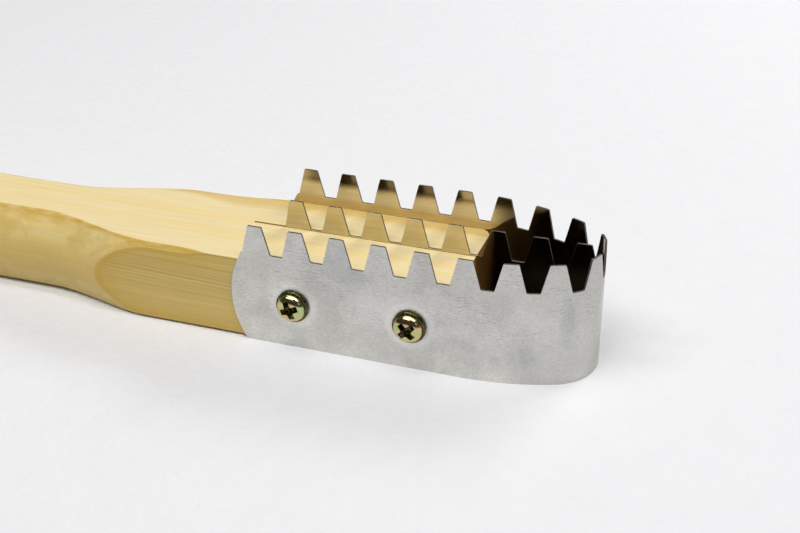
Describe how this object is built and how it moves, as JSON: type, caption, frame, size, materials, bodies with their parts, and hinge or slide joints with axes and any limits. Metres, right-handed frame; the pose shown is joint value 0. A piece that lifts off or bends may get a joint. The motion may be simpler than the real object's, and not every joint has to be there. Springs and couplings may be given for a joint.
{
  "type": "curry comb",
  "caption": "Curry comb: a toothed steel band bent in a U round a wooden head block, a toothed centre blade in a kerf, and a one-piece wooden handle with a rounded grip.",
  "frame": {"origin": "middle of the footprint, on the plane that the band's lower edge rests on", "axes": "+X from the handle's butt to the nose of the band, +Z from the underside towards the tooth tips"},
  "size_m": [0.24, 0.0394, 0.0305],
  "materials": {
    "pale_wood": "pale straight-grained softwood, sanded and left bare",
    "satin_steel": "thin sheet, satin outside with fine rubbing marks, bright inside",
    "bright_steel": "thin sheet, bright rolled finish",
    "yellow_zinc": "zinc plate with a yellow passivation that shows green and pink"
  },
  "bodies": {
    "root": {"handle": "pale_wood", "toothed_band": "satin_steel", "centre_blade": "bright_steel", "screw_near_rear": "yellow_zinc", "screw_near_front": "yellow_zinc", "screw_far_rear": "yellow_zinc", "screw_far_front": "yellow_zinc"}
  },
  "joints": []
}
